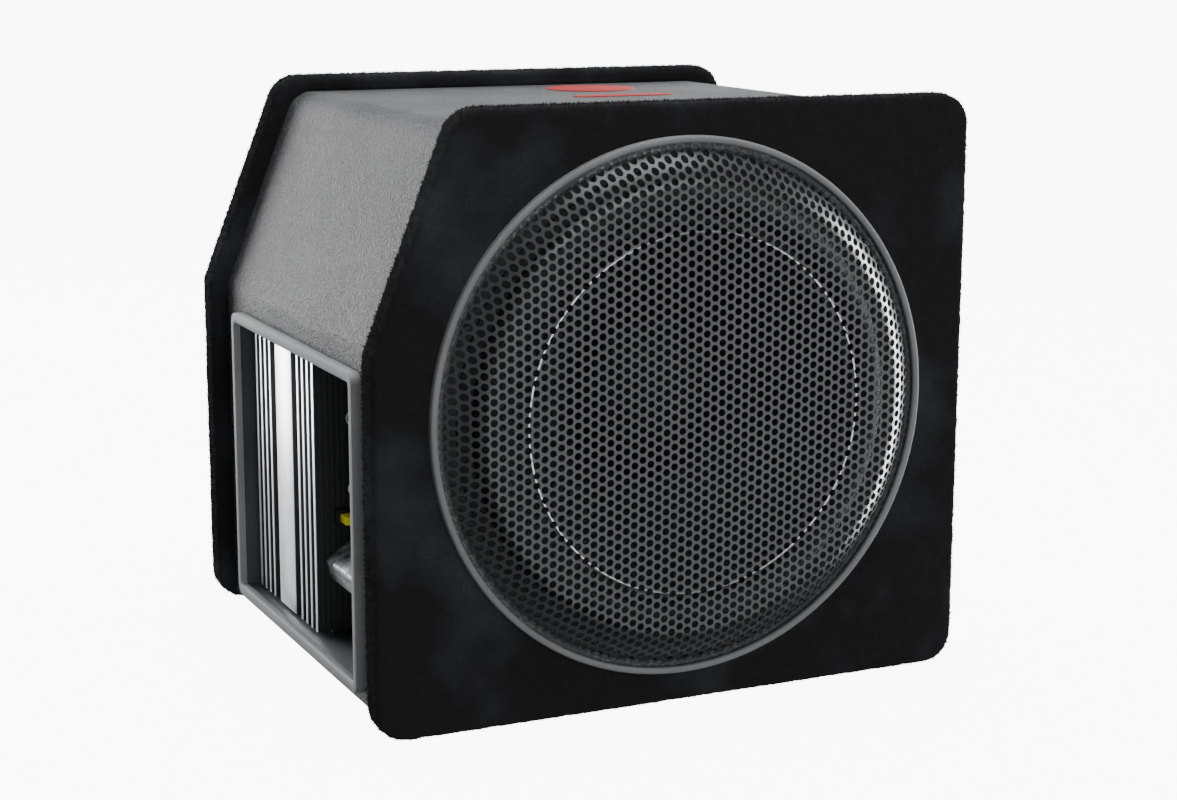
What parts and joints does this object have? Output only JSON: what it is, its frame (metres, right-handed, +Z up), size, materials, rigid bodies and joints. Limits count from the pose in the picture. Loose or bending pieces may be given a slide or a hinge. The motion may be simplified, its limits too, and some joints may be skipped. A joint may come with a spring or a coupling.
{
  "type": "powered car subwoofer",
  "caption": "Sealed car subwoofer box with carpeted end boards, a domed perforated grille over the driver and a finned amplifier in a tray in its side.",
  "frame": {"origin": "on the ground under the middle of the whole object", "axes": "+X to the right seen from the grille, +Y from the grille to the rear board, +Z up; the amplifier is on the -X side"},
  "size_m": [0.4, 0.3714, 0.371],
  "materials": {
    "carpet": "short needle-punch carpet",
    "fibreboard": "raw fibreboard",
    "vinyl": "grained vinyl",
    "red_print": "satin print",
    "grey_plastic": "fine moulded texture",
    "grille_paint": "powder coat",
    "black_metal": "satin paint",
    "foam": "closed-cell foam",
    "rubber": "matt",
    "cone_black": "satin",
    "former": "satin",
    "copper": "enamelled copper",
    "spider_cloth": "varnished cloth",
    "zinc_steel": "zinc plate",
    "ferrite": "ground ferrite",
    "board": "circuit board",
    "red_insulation": "satin",
    "black_insulation": "satin",
    "tray_plastic": "moulded",
    "aluminium": "black anodised with cut faces bright",
    "chrome": "bright",
    "terminal_metal": "nickel plate",
    "black_plastic": "moulded",
    "white_plastic": "gloss",
    "fuse_yellow": "gloss",
    "fibre": "loose polyester"
  },
  "bodies": {
    "enclosure": {"front_carpet": "carpet", "rear_carpet": "carpet", "front_baffle": "fibreboard", "rear_board": "fibreboard", "vinyl_wrap": "vinyl", "bottom_board": "fibreboard", "right_board": "fibreboard", "top_board": "fibreboard", "slanted_board": "fibreboard", "left_board": "fibreboard", "top_mark": "red_print", "grille_ring": "grey_plastic", "grille_mesh": "grille_paint", "woofer_basket": "black_metal", "woofer_gasket": "foam", "surround": "rubber", "spider": "spider_cloth", "top_plate": "zinc_steel", "magnet": "ferrite", "pole_plate": "zinc_steel", "terminal_board": "board", "tinsel_lead_low": "copper", "tinsel_lead_high": "copper", "speaker_wire_red": "red_insulation", "speaker_wire_black": "black_insulation", "amp_tray": "tray_plastic", "trim_frame": "grey_plastic", "wire_grommet": "rubber", "amp_heatsink": "aluminium", "amp_bottom_plate": "black_metal", "amp_top_plate": "black_metal", "amp_base_plate": "black_metal", "circuit_board": "board", "left_jack": "chrome", "right_jack": "chrome", "terminal_block": "terminal_metal", "fuse_holder": "black_plastic", "status_light": "white_plastic", "phase_switch": "black_plastic", "filter_coil": "copper", "damping_pad_rear": "fibre", "damping_pad_right": "fibre", "woofer_screw_1": "zinc_steel", "woofer_screw_2": "zinc_steel", "woofer_screw_3": "zinc_steel", "woofer_screw_4": "zinc_steel", "woofer_screw_5": "zinc_steel", "woofer_screw_6": "zinc_steel", "woofer_screw_7": "zinc_steel", "woofer_screw_8": "zinc_steel"},
    "cone_assembly": {"cone": "cone_black", "dust_cap": "cone_black", "coil_former": "former", "voice_coil": "copper"},
    "fuse_body": {"fuse": "fuse_yellow"},
    "phase_slider_body": {"phase_slider": "white_plastic"},
    "gain_knob_body": {"gain_knob": "black_plastic"},
    "filter_knob_body": {"filter_knob": "black_plastic"},
    "bass_knob_body": {"bass_knob": "black_plastic"}
  },
  "joints": [
    {"name": "cone_travel", "type": "slide", "parent": "enclosure", "child": "cone_assembly", "axis": [0, -1, 0], "range_m": [-0.01, 0.01], "stiffness_N_per_m": 4500, "deforming": ["surround", "spider", "tinsel_lead_low", "tinsel_lead_high"]},
    {"name": "gain_turn", "type": "hinge", "parent": "enclosure", "child": "gain_knob_body", "pos_m": [-0.15, -0.0091, 0.147], "axis": [0, -1, 0], "range_deg": [-150, 150]},
    {"name": "filter_turn", "type": "hinge", "parent": "enclosure", "child": "filter_knob_body", "pos_m": [-0.15, -0.0091, 0.178], "axis": [0, -1, 0], "range_deg": [-150, 150]},
    {"name": "bass_turn", "type": "hinge", "parent": "enclosure", "child": "bass_knob_body", "pos_m": [-0.15, -0.0091, 0.191], "axis": [0, -1, 0], "range_deg": [-150, 150]},
    {"name": "phase_slide", "type": "slide", "parent": "enclosure", "child": "phase_slider_body", "axis": [0, 0, 1], "range_m": [0, 0.0045]},
    {"name": "fuse_pull", "type": "slide", "parent": "enclosure", "child": "fuse_body", "axis": [0, -1, 0], "range_m": [0, 0.012]}
  ]
}
